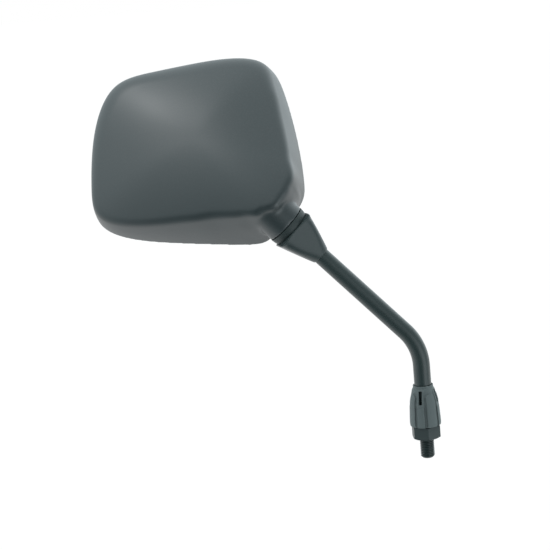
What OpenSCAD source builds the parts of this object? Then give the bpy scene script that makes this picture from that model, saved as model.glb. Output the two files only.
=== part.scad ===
/* [Stem] */
// Diameter of the rod
rod_d = 12; // [11:0.5:13]
// Height of the bend's corner above the lock nut's seat
leg_h = 67.3; // [63:0.1:76]
// Angle of the bend
bend_angle = 42.5; // [40:0.5:45]
// Radius of the bend on the rod's centre line
bend_r = 38; // [34:1:42]
// Length from the bend's corner to the ball's centre
upper_leg = 127.4; // [122:0.1:134]
// Diameter of the thread
thread_d = 10; // [9:0.5:10.5]
// Length of free thread below the lock nut
thread_free = 14.5; // [10:0.5:18]
// Length of thread from the lock nut's seat up to the rod
thread_top = 16; // [14:0.5:18]
// Diameter of the waist below the ball
waist_d = 9; // [8:0.25:9.5]
// Diameter of the spigot inside the ball
spigot_d = 7; // [6:0.25:7.5]

/* [Ball joint] */
// Diameter of the ball
ball_d = 19; // [18.6:0.1:19.2]
// Running clearance between the joint's round faces
joint_gap = 0.05; // [0.03:0.01:0.08]
// Thickness of the nylon seats
seat_t = 0.9; // [0.8:0.05:0.95]
// Angle from the ball's equator to each seat's inner edge
seat_from = 8; // [7:0.5:9]
// Angle from the ball's equator to each seat's outer edge
seat_to = 42; // [38:1:44]
// Outer diameter of the round socket neck
socket_d = 29.8; // [29:0.1:30]
// Diameter of the bracket's barrel inside the shell
barrel_d = 26; // [25.4:0.1:26.6]
// Length of the barrel above the ball's centre
barrel_len = 21.5; // [20.5:0.25:22]
// Diameter of the opening for the waist
mouth_d = 16; // [15.5:0.25:16.5]
// Depth of the socket below the ball's centre
socket_drop = 9.5; // [9:0.25:10]
// Thickness of one disc spring
spring_t = 0.8; // [0.7:0.05:0.9]
// Cone height of one disc spring
spring_rise = 0.5; // [0.4:0.05:0.6]
// Thickness of the spring plug
plug_t = 4; // [3.5:0.25:4.5]

/* [Head] */
// Turn of the head about its own X
head_pitch = 57; // [55:0.5:59]
// Turn of the head about its own Y
head_roll = 2; // [0:0.5:4]
// Turn of the head about the vertical
head_turn = -10; // [-12:0.5:-8]
// Depth from the ball's centre to the shell's rim
rim_drop = 17.5; // [17:0.1:18.5]
// Depth of the side walls at the neck corner
depth_neck = 49; // [47:0.5:51]
// Depth of the side walls at the upper inner corner
depth_top = 23; // [21:0.5:25]
// Depth of the side walls at the outer end
depth_outer = 20; // [19:0.5:22]
// Height that the back rises above its ridge
crown = 11; // [9:0.5:13]
// Wall thickness of the shell
shell_wall = 2.5; // [2.2:0.1:2.8]
// Width of the shell's rim
rim_width = 3.6; // [3.4:0.1:3.9]
// Depth of the straight recess for the bezel
recess_depth = 9; // [8:0.25:10]
// Radius of the ridge where it is crispest
ridge_r = 4.5; // [4:0.5:8]
// Added radius of the ridge at the top and outer end
ridge_soften = 9; // [6:0.5:10]
// How far the walls swell out to meet the neck
neck_swell = 5; // [3:0.5:6]

/* [Glass] */
// Thickness of the glass
glass_t = 2.2; // [2:0.1:2.4]
// Radius of curvature of the convex glass
glass_curve = 1400; // [1200:20:1800]
// Thickness of the foam pad
pad_t = 1; // [0.8:0.1:1.2]
// Thickness of the backing plate
plate_t = 1.8; // [1.6:0.1:2]
// Depth of the glass's front at its middle below the rim
glass_sink = 0.6; // [0.4:0.1:1]
// Distance from the rim's outline to the glass's edge
glass_inset = 6.2; // [5.8:0.1:7]
// Width that the bezel's lip covers on the glass
lip_cover = 2.4; // [2:0.1:3]

/* [Rubber boot] */
// Half width of the boot's mouth across its flats
boot_mouth = 15.3; // [15:0.1:16]
// Radius of the boot's small end
boot_end_r = 6.6; // [6.4:0.1:7.2]
// Length of the boot
boot_len = 27.6; // [26:0.1:30]
// Distance from the ball's centre to the boot's mouth
boot_drop = 5; // [4.8:0.1:5.4]
// Turn of the boot's flats about the rod
boot_turn = 13; // [0:1:30]

/* [Nut cover] */
// Height of the cover's lower edge above the lock nut's seat
cover_from = 9.5; // [9:0.25:10]
// Length of the cover
cover_len = 29.2; // [28.4:0.1:30]
// Largest radius of the cover
cover_r = 11; // [10.8:0.05:11.4]
// Radius of the cover's collar at the top
cover_top_r = 7.1; // [6.9:0.1:7.6]
// Depth of the grooves between the cover's lobes
flute_depth = 0.8; // [0.4:0.05:0.9]
// Number of plain lobes, with as many ribs and slots between them
lobe_pairs = 4; // [3:1:4]

/* [Lock nut] */
// Width of the lock nut across its flats
nut_af = 18.5; // [17:0.5:19]
// Height of the lock nut
nut_h = 9.4; // [8.8:0.1:9.4]

/* [Hidden] */
$fn = 64;

black_plastic = [0.22, 0.25, 0.26];
dark_rubber = [0.17, 0.2, 0.2];
grey_rubber = [0.3, 0.33, 0.33];
black_steel = [0.12, 0.14, 0.15];
bare_steel = [0.6, 0.6, 0.6];
die_cast = [0.45, 0.46, 0.47];
nylon = [0.88, 0.87, 0.82];

// The pivot is the ball's centre, at the end of the upper leg
pivot = [-upper_leg * sin(bend_angle), 0, leg_h + upper_leg * cos(bend_angle)];
rod_r = rod_d / 2;
ball_r = ball_d / 2;
seat_in = ball_r + joint_gap;
seat_out = seat_in + seat_t;
socket_in = seat_out + joint_gap;
socket_out = socket_d / 2;
barrel_r = barrel_d / 2;
fit_gap = 0.02;
cut = 0.5;

module at_pivot() translate(pivot) rotate([0, -bend_angle, 0]) children();
module at_head() translate(pivot) rotate([head_pitch, head_roll, head_turn]) children();

// Direction of the rod in the head's own axes
function turn_x(p, a) = [p.x, p.y * cos(a) - p.z * sin(a), p.y * sin(a) + p.z * cos(a)];
function turn_y(p, a) = [p.x * cos(a) + p.z * sin(a), p.y, -p.x * sin(a) + p.z * cos(a)];
function turn_z(p, a) = [p.x * cos(a) - p.y * sin(a), p.x * sin(a) + p.y * cos(a), p.z];
rod_dir = turn_x(turn_y(turn_z([-sin(bend_angle), 0, cos(bend_angle)], -head_turn), -head_roll), -head_pitch);
arm_angle = atan2(rod_dir.y, rod_dir.x);

// Outline of the rim in the head's plane, as the control points of a closed cubic spline round the pivot
rim_control = [[10.2, 24], [9.2, 38], [5.6, 58], [-0.2, 82], [-7.8, 106], [-16.5, 126.5], [-38, 131.8], [-70, 128],
    [-104, 121.2], [-132, 115.5], [-142.5, 90], [-144.3, 60], [-142.2, 30], [-139, 6], [-117, -3.8], [-86, -7],
    [-54, -8.3], [-28, -9.5], [-15, -8], [-8, 2], [1, 11]];
pole = [-65, 57];
steps = 5;
knots = len(rim_control);
function spline(i, t) = let (
    a = rim_control[(i + knots - 1) % knots],
    b = rim_control[i],
    c = rim_control[(i + 1) % knots],
    d = rim_control[(i + 2) % knots])
    (a * pow(1 - t, 3) + b * (3 * t * t * t - 6 * t * t + 4) + c * (-3 * t * t * t + 3 * t * t + 3 * t + 1)
    + d * t * t * t) / 6;
outline = [for (i = [0:knots - 1], j = [0:steps - 1]) spline(i, j / steps)];
sides = len(outline);
function away(i) = (outline[i] - pole) / norm(outline[i] - pole);
function reach(i) = norm(outline[i] - pole);
function bearing(p) = let (a = atan2(p.y - pole.y, p.x - pole.x)) a < -27 ? a + 360 : a;
function smooth(x) = let (y = min(1, max(0, x))) y * y * (3 - 2 * y);

// Depth of the walls, from corner to corner, and their draft round the outline
head_left = -138;
head_right = 10;
head_low = -10;
head_high = 125;
function depth(p) = let (
    a = min(1, max(0, (p.x - head_left) / (head_right - head_left))),
    b = min(1, max(0, (p.y - head_low) / (head_high - head_low))))
    (depth_outer * (1 - a) + depth_top * a) * b + (depth_outer * (1 - a) + depth_neck * a) * (1 - b);
drafts = [[-27, 2], [-10, 9], [30, 12], [45, 14.5], [60, 12], [90, 10], [135, 9], [180, 6], [210, 6], [240, 7],
    [270, 9], [290, 12.5], [303, 12.5], [312, 4], [319, -4.5], [327, -1.5], [333, 2]];
function draft(i) = lookup(bearing(outline[i]), drafts);
function wall_depth(i) = depth(outline[i] - away(i) * 6);
function eased(list, i, n) = [for (k = [-n:n]) list[(i + k + sides) % sides]] * [for (k = [-n:n]) n + 1 - abs(k)]
    / pow(n + 1, 2);
insets = [for (i = [0:sides - 1]) wall_depth(i) * tan(draft(i))];
function ridge_inset(i) = eased(insets, i, 1);
ridge_reaches = [for (i = [0:sides - 1]) reach(i) - ridge_inset(i)];
dome_reaches = [for (i = [0:sides - 1]) eased(ridge_reaches, i, 8)];
function ridge_size(i) = ridge_r + ridge_soften * max(0, cos(bearing(outline[i]) - 125));
wall_bulge = 0.6;
function wall_inset(i, w) = ridge_inset(i) * w / wall_depth(i) - wall_bulge * sin(180 * w / wall_depth(i));

// Height of the back over the rim's plane, at a distance from the pole along one bearing
crown_power = 2.2;
function dome(i, rho) = let (x = rho / dome_reaches[i])
    depth(pole + away(i) * rho) + crown * (1 - pow(x, crown_power));
reaches = [for (i = [0:sides - 1]) [bearing(outline[i]), dome_reaches[i]]];
function dome_at(p) = depth(p) + crown * (1 - pow(norm(p - pole) / lookup(bearing(p), reaches), crown_power));

// Sections of the shell, as inset from the rim's outline and height over the rim
rim_round = 1.2;
wall_steps = 5;
ridge_steps = 5;
dome_steps = 7;
function bezier(a, b, c, t) = a * (1 - t) * (1 - t) + b * 2 * t * (1 - t) + c * t * t;
function outer_section(i) = let (
    k = ridge_size(i),
    foot = wall_depth(i) - k,
    top_rho = reach(i) - ridge_inset(i) - k,
    a = [wall_inset(i, foot), foot],
    b = [ridge_inset(i), dome(i, reach(i) - ridge_inset(i))],
    c = [ridge_inset(i) + k, dome(i, top_rho)])
    concat(
        [[rim_round, 0], [rim_round * 0.3, rim_round * 0.3]],
        [for (j = [0:wall_steps]) let (w = rim_round + (foot - rim_round) * j / (wall_steps + 1)) [wall_inset(i, w), w]],
        [for (j = [0:ridge_steps]) bezier(a, b, c, j / ridge_steps)],
        [for (j = [dome_steps:-1:1]) let (rho = top_rho * j / (dome_steps + 1)) [reach(i) - rho, dome(i, rho)]]);
inner_steps = 4;
function inner_section(i) = let (
    k = ridge_size(i) * 0.6,
    foot = wall_depth(i) - k - shell_wall,
    top_rho = reach(i) - ridge_inset(i) - k - shell_wall,
    a = [wall_inset(i, foot) + shell_wall, foot],
    b = [ridge_inset(i) + shell_wall, dome(i, reach(i) - ridge_inset(i) - shell_wall) - shell_wall],
    c = [ridge_inset(i) + shell_wall + k, dome(i, top_rho) - shell_wall])
    concat(
        [for (j = [1:inner_steps]) let (rho = top_rho * j / (inner_steps + 1)) [reach(i) - rho, dome(i, rho) - shell_wall]],
        [for (j = [3:-1:0]) bezier(a, b, c, j / 3)],
        [[max(rim_width, wall_inset(i, recess_depth) + shell_wall), recess_depth], [rim_width, recess_depth], [rim_width, 0]]);

// The walls swell towards the neck, and less so the ridge, while the rim stays flat
function near_neck(p) = let (z = p * rod_dir, r = norm(p - rod_dir * z))
    z > 26 ? 0 : smooth(1 - (r - socket_out + 2) / 14) * smooth((p.z + rim_drop) / 12) * smooth((26 - z) / 10);
function shell_point(i, s) = let (
    q = outline[i] - away(i) * s[0],
    p = [q.x, q.y, s[1] - rim_drop])
    p - rod_dir * neck_swell * near_neck(p) * smooth((wall_depth(i) + 4 - s[1]) / 16);

outer_rings = len(outer_section(0));
inner_rings = len(inner_section(0));
ring_count = outer_rings + inner_rings;

// Rings run from the outer pole down to the rim and back up inside to the inner pole
shell_points = concat(
    [[pole.x, pole.y, depth(pole) + crown - rim_drop]],
    [for (j = [outer_rings - 1:-1:0], i = [0:sides - 1]) shell_point(i, outer_section(i)[j])],
    [for (j = [inner_rings - 1:-1:0], i = [0:sides - 1]) let (s = inner_section(i)[j], q = outline[i] - away(i) * s[0])
        [q.x, q.y, s[1] - rim_drop]],
    [[pole.x, pole.y, depth(pole) + crown - shell_wall - rim_drop]]);
function ring_index(j, i) = 1 + j * sides + (i % sides);
last_point = 1 + ring_count * sides;
shell_faces = concat(
    [for (i = [0:sides - 1]) [0, ring_index(0, i + 1), ring_index(0, i)]],
    [for (j = [0:ring_count - 2], i = [0:sides - 1]) [ring_index(j, i), ring_index(j, i + 1), ring_index(j + 1, i + 1)]],
    [for (j = [0:ring_count - 2], i = [0:sides - 1]) [ring_index(j, i), ring_index(j + 1, i + 1), ring_index(j + 1, i)]],
    [for (i = [0:sides - 1]) [last_point, ring_index(ring_count - 1, i), ring_index(ring_count - 1, i + 1)]]);

// Bosses for the bracket's screws, along the arm from the pivot, and for the backing plate
bracket_holes = [[36, 9], [36, -9], [50, 0]];
plate_holes = [[-118, 28], [-112, 92], [-38, 100], [-72, 14]];
boss_r = 4.2;
hole_r = 1.4;
screw_r = 1.75;
head_r = 3.4;
arm_low = -4;
arm_t = 3.5;
arm_from = 24.3;
web_t = 2.5;
web_out = 9.5;
web_to = 31.4;
chin_top = 4;
function on_arm(p) = [p.x * cos(arm_angle) - p.y * sin(arm_angle), p.x * sin(arm_angle) + p.y * cos(arm_angle)];

collar_in = barrel_r + 0.2;
collar_end = 0.2;
collar_len = 19;

module boss(p, from) {
    translate([p.x, p.y, from]) difference() {
        cylinder(r = boss_r, h = dome_at(p) - rim_drop - shell_wall * 0.6 - from);
        translate([0, 0, -cut]) cylinder(r = hole_r, h = 12);
    }
}

module rear_housing() color(black_plastic) {
    difference() {
        union() {
            at_head() polyhedron(shell_points, shell_faces, convexity = 6);
            at_pivot() translate([0, 0, collar_end]) rotate_extrude()
                polygon([[collar_in, 0], [socket_out, 0], [socket_out, 8], [socket_out - 0.5, collar_len - 4],
                    [collar_in + 0.4, collar_len], [collar_in, collar_len]]);
            at_head() {
                for (p = bracket_holes) boss(on_arm(p), arm_low + arm_t);
                for (p = plate_holes) boss(p, plate_seat);
            }
        }
        at_pivot() translate([0, 0, -12]) cylinder(r = collar_in, h = barrel_len + 12.2);
        at_pivot() translate([0, 0, collar_end - 14]) cylinder(r = socket_out + 1.6, h = 14);
    }
}

// The glass, pad and backing plate are shells with the glass's curve, cut to the inset outline
function inset_outline(d) = [for (i = [0:sides - 1]) outline[i] - away(i) * d];
dish_r = 105;
dish_bands = 12;
function sag(r) = r * r / (2 * glass_curve);
glass_front = -rim_drop + glass_sink;
plate_seat = glass_front + glass_t + pad_t + plate_t + sag(dish_r) * 0.62;
module dish(low, t) {
    translate([pole.x, pole.y, low]) rotate_extrude($fn = 72)
        polygon(concat(
            [for (j = [0:dish_bands]) let (r = dish_r * j / dish_bands) [r, sag(r)]],
            [for (j = [dish_bands:-1:0]) let (r = dish_r * j / dish_bands) [r, sag(r) + t]]));
}
module glass_layer(low, t, inset) {
    intersection() {
        dish(low, t);
        translate([0, 0, low - 1]) linear_extrude(20) polygon(inset_outline(inset));
    }
}
module mirror_glass() color([0.75, 0.8, 0.82]) at_head() glass_layer(glass_front, glass_t, glass_inset);
module glass_pad() color([0.15, 0.15, 0.15]) at_head() difference() {
    glass_layer(glass_front + glass_t, pad_t, glass_inset + 3);
    for (p = plate_holes) translate([p.x, p.y, glass_front]) cylinder(r = head_r + 1, h = 20);
}
module backing_plate() color(black_plastic) at_head() difference() {
    union() {
        glass_layer(glass_front + glass_t + pad_t, plate_t, glass_inset + 1);
        for (p = plate_holes) translate([p.x, p.y, plate_head_z(p)]) cylinder(r = boss_r, h = plate_seat - plate_head_z(p));
    }
    for (p = plate_holes) translate([p.x, p.y, glass_front]) {
        cylinder(r = screw_r, h = 20);
        cylinder(r = head_r + 0.1, h = plate_head_z(p) - glass_front);
    }
}
function plate_head_z(p) = glass_front + glass_t + pad_t + sag(norm(p - pole)) + 1;
module plate_screws() color(black_steel) at_head() for (p = plate_holes) {
    translate([p.x, p.y, plate_head_z(p) - 0.9]) cylinder(r = head_r, h = 0.9);
    translate([p.x, p.y, plate_head_z(p)]) cylinder(r = hole_r, h = plate_seat + 9 - plate_head_z(p));
}

// The bezel's lip reaches from the rim's plane up to the glass's front
module collar_space() rotate([0, 0, -head_turn]) rotate([0, -head_roll, 0]) rotate([-head_pitch, 0, 0])
    rotate([0, -bend_angle, 0]) cylinder(r = socket_out + fit_gap, h = collar_len + 1);
bezel_h = 6.5;
module rim_bezel() color(black_plastic) at_head() difference() {
    translate([0, 0, -rim_drop]) linear_extrude(bezel_h) polygon(inset_outline(rim_width + fit_gap));
    glass_layer(glass_front - fit_gap, bezel_h + 2, glass_inset - 0.4);
    translate([0, 0, -rim_drop - cut]) linear_extrude(bezel_h) polygon(inset_outline(glass_inset + lip_cover));
    collar_space();
}

// Socket and barrel turn about the rod, and the tongue lies in the head's plane below the barrel's end
module pivot_bracket() color(die_cast) {
    difference() {
        union() {
            at_pivot() {
                intersection() {
                    sphere(r = socket_out, $fn = 96);
                    translate([0, 0, -socket_drop]) cylinder(r = socket_out + 1, h = socket_drop + collar_end - 0.05);
                }
                cylinder(r = barrel_r, h = barrel_len);
            }
            at_head() rotate([0, 0, arm_angle]) {
                translate([0, 0, arm_low]) linear_extrude(arm_t) tongue();
                for (s = [-1, 1]) translate([0, s * web_out + web_t / 2, 0]) rotate([90, 0, 0]) linear_extrude(web_t)
                    polygon([[arm_from, arm_low], [web_to, arm_low], [web_to, arm_low + arm_t],
                        [arm_from + 3, arm_low + 10], [arm_from - 3, arm_low + 10]]);
            }
            intersection() {
                at_pivot() cylinder(r = barrel_r, h = barrel_len + 4);
                at_head() rotate([0, 0, arm_angle]) translate([0, -20, -20]) cube([40, 40, 20 + chin_top]);
            }
        }
        at_pivot() sphere(r = socket_in, $fn = 96);
        at_pivot() cylinder(r = socket_in, h = 70);
        at_pivot() translate([0, 0, -20]) cylinder(r = mouth_d / 2, h = 20);
        at_pivot() difference() {
            translate([0, 0, -5]) cylinder(r = 40, h = 5 + collar_len + collar_end + 0.15);
            translate([0, 0, -6]) cylinder(r = socket_out + 0.2, h = 40);
        }
        at_pivot() translate([0, 0, ring_from - fit_gap]) cylinder(r = ring_r + fit_gap, h = ring_t + 2 * fit_gap);
        at_head() for (p = bracket_holes) translate([on_arm(p).x, on_arm(p).y, -20]) cylinder(r = screw_r, h = 40);
    }
}
module tongue() difference() {
    union() {
        translate([arm_from, -12]) square([36 - arm_from, 24]);
        for (p = bracket_holes) translate([p.x, p.y]) circle(r = 6);
        polygon([[36, -15], [36, 15], [52, 6], [52, -6]]);
    }
}
module bracket_screws() color(black_steel) at_head() for (p = bracket_holes)
    translate([on_arm(p).x, on_arm(p).y, arm_low - 2]) {
        cylinder(r = head_r, h = 2);
        cylinder(r = hole_r, h = 2 + arm_t + 10);
    }

// The ball is bored for the stem's spigot and flat at both ends
module pivot_ball() color(bare_steel) at_pivot() difference() {
    intersection() {
        sphere(r = ball_r, $fn = 96);
        translate([0, 0, -7]) cylinder(r = ball_r + 1, h = 14.5);
    }
    translate([0, 0, -ball_r]) cylinder(r = spigot_d / 2 + fit_gap, h = ball_d);
}

module seat_ring(sign) intersection() {
    difference() {
        sphere(r = seat_out, $fn = 96);
        sphere(r = seat_in, $fn = 96);
    }
    mirror([0, 0, sign < 0 ? 1 : 0]) translate([0, 0, seat_out * sin(seat_from)])
        cylinder(r = seat_out + 1, h = seat_out * (sin(seat_to) - sin(seat_from)));
}
module lower_seat() color(nylon) at_pivot() seat_ring(-1);
module upper_seat() color(nylon) at_pivot() seat_ring(1);

cup_from = 4.5;
cup_to = 11;
cup_hole = 6;
module pressure_cup() color(bare_steel) at_pivot() difference() {
    translate([0, 0, cup_from]) cylinder(r = socket_in - joint_gap, h = cup_to - cup_from);
    sphere(r = socket_in, $fn = 96);
    cylinder(r = cup_hole, h = 20);
}
spring_h = spring_t + spring_rise;
module disc_spring() rotate_extrude() polygon([[cup_hole, spring_rise], [socket_in - 0.3, 0],
    [socket_in - 0.3, spring_t], [cup_hole, spring_h]]);
module lower_spring() color(bare_steel) at_pivot() translate([0, 0, cup_to]) disc_spring();
module upper_spring() color(bare_steel) at_pivot() translate([0, 0, cup_to + 2 * spring_h]) mirror([0, 0, 1]) disc_spring();
plug_from = cup_to + 2 * spring_h;
module spring_plug() color(die_cast) at_pivot() translate([0, 0, plug_from]) difference() {
    cylinder(r = socket_in - fit_gap, h = plug_t);
    translate([0, 0, -cut]) cylinder(r = 3, h = plug_t + 2 * cut);
    for (s = [-1, 1]) translate([s * 7, 0, plug_t - 2.5]) cylinder(r = 1.25, h = 3);
}

// The ring springs into the barrel's groove behind the plug, and has an eye at each end
ring_from = plug_from + plug_t;
ring_t = 1.2;
ring_r = socket_in + 1;
ring_in = socket_in - 1.6;
module retaining_ring() color(bare_steel) at_pivot() translate([0, 0, ring_from]) linear_extrude(ring_t) difference() {
    union() {
        difference() {
            circle(r = ring_r);
            circle(r = ring_in);
            polygon([[0, 0], [4, -14], [-4, -14]]);
        }
        for (s = [-1, 1]) translate([s * 4.1, -7.6]) circle(r = 2);
    }
    for (s = [-1, 1]) translate([s * 4.1, -7.6]) circle(r = 0.9);
}

// A funnel of rounded square section at the mouth, round at the rod
boot_rings = 14;
boot_sides = 64;
function boot_half(t) = boot_end_r + (boot_mouth - boot_end_r) * pow(t, 0.92);
function boot_power(t) = 2 + 3 * smooth(0.1 + 1.2 * t);
function boot_radius(a, t) = let (n = boot_power(t))
    boot_half(t) / pow(pow(abs(cos(a)), n) + pow(abs(sin(a)), n), 1 / n);
boot_points = concat(
    [for (j = [0:boot_rings], i = [0:boot_sides - 1]) let (
        t = j / boot_rings, a = 360 * i / boot_sides, r = boot_radius(a, t))
        [r * cos(a + boot_turn), r * sin(a + boot_turn), -boot_drop - boot_len * (1 - t)]]);
boot_faces = concat(
    [[for (i = [0:boot_sides - 1]) i]],
    [for (j = [0:boot_rings - 1], i = [0:boot_sides - 1]) let (k = (i + 1) % boot_sides)
        [j * boot_sides + i, (j + 1) * boot_sides + i, (j + 1) * boot_sides + k, j * boot_sides + k]],
    [[for (i = [boot_sides - 1:-1:0]) boot_rings * boot_sides + i]]);
boot_gap = 0.3;
boot_seat = 25;
// The mouth's corners fall away so that the tilting shell clears them
mouth_relief = 15;
module ball_boot() color(dark_rubber) at_pivot() difference() {
    polyhedron(boot_points, boot_faces, convexity = 4);
    sphere(r = socket_out + boot_gap, $fn = 96);
    translate([0, 0, -boot_seat]) cylinder(r1 = rod_r + joint_gap, r2 = 10.8, h = boot_seat - 10);
    translate([0, 0, -boot_drop - boot_len - cut]) cylinder(r = rod_r + joint_gap, h = boot_len);
    rotate_extrude() polygon([[mouth_relief, 0.08 - boot_drop], [mouth_relief + 7, -boot_drop - 2.5],
        [mouth_relief + 7, 2 - boot_drop], [mouth_relief, 2 - boot_drop]]);
}

// Thread, vertical leg, bend, upper leg, waist and spigot
tangent = bend_r * tan(bend_angle / 2);
waist_from = 15.5;
waist_cone = 2;
spigot_from = 7;
spigot_to = 7.5;
// The thread is drawn plain: full size where it is free, and at its pitch diameter where the nut turns on it
thread_play = 0.4;
// The bend swells by a hair, and each leg ends just inside it
weld = 0.3;
bend_swell = 0.03;
module stem() color(black_steel) {
    rotate_extrude() polygon([[0, -thread_free], [thread_d / 2 - 1, -thread_free], [thread_d / 2, 1 - thread_free],
        [thread_d / 2, 0], [thread_d / 2 - thread_play, 0], [thread_d / 2 - thread_play, thread_top],
        [rod_r, thread_top + 1.5], [rod_r, leg_h - tangent + weld], [0, leg_h - tangent + weld]]);
    translate([-bend_r, 0, leg_h - tangent]) rotate([90, 0, 0]) rotate_extrude(angle = bend_angle)
        translate([bend_r, 0]) circle(r = rod_r + bend_swell);
    at_pivot() rotate_extrude() polygon([[0, tangent - upper_leg - weld], [rod_r, tangent - upper_leg - weld],
        [rod_r, -waist_from], [waist_d / 2, waist_cone - waist_from], [waist_d / 2, -spigot_from],
        [spigot_d / 2, -spigot_from], [spigot_d / 2, spigot_to], [0, spigot_to]]);
}

// Half section of the cover's outside, lowered by the depth of its grooves for the ground between the lobes
function cover_profile(d) = [
    [cover_r - 0.2 - d, cover_from],
    [cover_r - d, cover_from + 2],
    [cover_r - 0.15 - d, cover_from + 6],
    [cover_r - 0.45 - d, cover_from + 11.5],
    [cover_r - 0.8 - d, cover_from + 17.5],
    [cover_r - 1.4 - d, cover_from + 20.5],
    [cover_r - 2.1 - d, cover_from + 23.2],
    [cover_top_r + 1.1 - d * 0.6, cover_from + 26],
    [cover_top_r, cover_from + 27.6],
    [cover_top_r, cover_from + cover_len]];
module cover_solid(d) rotate_extrude()
    polygon(concat([[0, cover_from]], cover_profile(d), [[0, cover_from + cover_len]]));
module radial_prism(a) rotate([0, 0, a]) rotate([90, 0, 90]) linear_extrude(cover_r + 1) children();
module plain_lobe() union() {
    polygon([[-3.7, cover_from - 1], [3.7, cover_from - 1], [3.3, cover_from + 20.3], [-3.3, cover_from + 20.3]]);
    translate([0, cover_from + 20.3]) circle(r = 3.3);
}
module rib() polygon([[-2.8, cover_from - 1], [2.8, cover_from - 1], [2.6, cover_from + 14.2], [-2.6, cover_from + 14.2]]);
module slot_frame() translate([-2.5, cover_from + 13]) square([5, 13.9]);
frame_drop = 0.35;
lobe_turn = 25;
module nut_cover() color(grey_rubber) difference() {
    union() {
        cover_solid(flute_depth);
        for (j = [0:lobe_pairs - 1]) let (a = -90 + lobe_turn + j * 360 / lobe_pairs) {
            intersection() {
                cover_solid(0);
                radial_prism(a) plain_lobe();
            }
            intersection() {
                cover_solid(0);
                radial_prism(a + 180 / lobe_pairs) rib();
            }
            intersection() {
                cover_solid(frame_drop);
                radial_prism(a + 180 / lobe_pairs) slot_frame();
            }
        }
    }
    rotate_extrude() polygon([[0, cover_from - 1], [cover_r - 2, cover_from - 1], [cover_r - 2, cover_from + 8],
        [cover_r - 3.6, cover_from + 20], [rod_r + joint_gap, cover_from + 23.5], [rod_r + joint_gap, cover_from + 40],
        [0, cover_from + 40]]);
    for (j = [0:lobe_pairs - 1]) radial_prism(-90 + lobe_turn + (j + 0.5) * 360 / lobe_pairs)
        translate([-1.15, cover_from + 16.6]) square([2.3, 9.4]);
}

// The nut stands a hair above the end of the free thread
nut_from = 0.1;
module lock_nut() color(black_steel) difference() {
    intersection() {
        rotate([0, 0, 5 - 90]) cylinder(r = nut_af / sqrt(3), h = nut_h, $fn = 6);
        rotate_extrude() polygon([[0, nut_from], [nut_af / 2 - 0.1, nut_from], [nut_af / sqrt(3) + 0.1, nut_from + 0.9],
            [nut_af / sqrt(3) + 0.1, nut_h - 0.9], [nut_af / 2 - 0.1, nut_h], [0, nut_h]]);
    }
    translate([0, 0, -cut]) cylinder(r = thread_d / 2 - thread_play + joint_gap, h = nut_h + 2 * cut);
}

rear_housing();
rim_bezel();
mirror_glass();
glass_pad();
backing_plate();
plate_screws();
pivot_bracket();
bracket_screws();
pivot_ball();
lower_seat();
upper_seat();
pressure_cup();
lower_spring();
upper_spring();
spring_plug();
retaining_ring();
ball_boot();
stem();
nut_cover();
lock_nut();
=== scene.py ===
import bmesh
import bpy
import math
from mathutils import Matrix, Vector


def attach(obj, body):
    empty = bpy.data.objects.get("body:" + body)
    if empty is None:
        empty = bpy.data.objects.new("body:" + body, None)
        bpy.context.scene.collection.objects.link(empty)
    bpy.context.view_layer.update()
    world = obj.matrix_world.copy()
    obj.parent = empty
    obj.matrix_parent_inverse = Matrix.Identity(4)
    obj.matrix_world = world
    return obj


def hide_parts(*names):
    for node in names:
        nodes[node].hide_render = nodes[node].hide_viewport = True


# A right-hand motorcycle mirror, seen from the front of the motorcycle.
# The shell, bezel, glass, boot, rod, cover and nut are dressed here; the joint's inner parts stay as packed.

print("loading the packed mirror")
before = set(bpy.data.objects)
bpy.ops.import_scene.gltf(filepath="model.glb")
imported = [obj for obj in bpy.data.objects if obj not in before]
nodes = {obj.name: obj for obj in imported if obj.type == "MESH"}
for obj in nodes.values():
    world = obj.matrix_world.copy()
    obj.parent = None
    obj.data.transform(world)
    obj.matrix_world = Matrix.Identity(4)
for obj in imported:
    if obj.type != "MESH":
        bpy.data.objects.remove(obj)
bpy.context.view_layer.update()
scene = bpy.context.scene
mm = 0.001

# Places of the pivot, the upper leg and the head, as the part has them, in millimetres and degrees
mirrorPlan = {
    "bendAngle": 42.5, "upperLeg": 127.4, "legHeight": 67.3,
    "headPitch": 57, "headRoll": 2, "headTurn": -10,
}


def turnedBy(axis, degrees):
    return Matrix.Rotation(math.radians(degrees), 4, axis)


bend = math.radians(mirrorPlan["bendAngle"])
pivot = Vector((
    -mirrorPlan["upperLeg"] * math.sin(bend),
    0,
    mirrorPlan["legHeight"] + mirrorPlan["upperLeg"] * math.cos(bend),
))
toMetres = Matrix.Diagonal((mm, mm, mm, 1))
rodPlace = toMetres @ Matrix.Translation(pivot) @ turnedBy("Y", -mirrorPlan["bendAngle"])
headTurned = (
    turnedBy("Z", mirrorPlan["headTurn"])
    @ turnedBy("Y", mirrorPlan["headRoll"])
    @ turnedBy("X", mirrorPlan["headPitch"])
)
headPlace = toMetres @ Matrix.Translation(pivot) @ headTurned
rodInHead = headTurned.to_3x3().inverted() @ Vector((-math.sin(bend), 0, math.cos(bend)))


# Camera: the photograph's scale, tilt and the pixel where the stem meets the lock nut's seat
cameraView = {
    "distance": 1.8, "mmPerPixel": 0.705, "elevation": 13, "roll": 4.87,
    "stemPixel": (426.64, 437.0), "image": 550, "sensor": 36, "clipEnd": 20,
}


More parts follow.
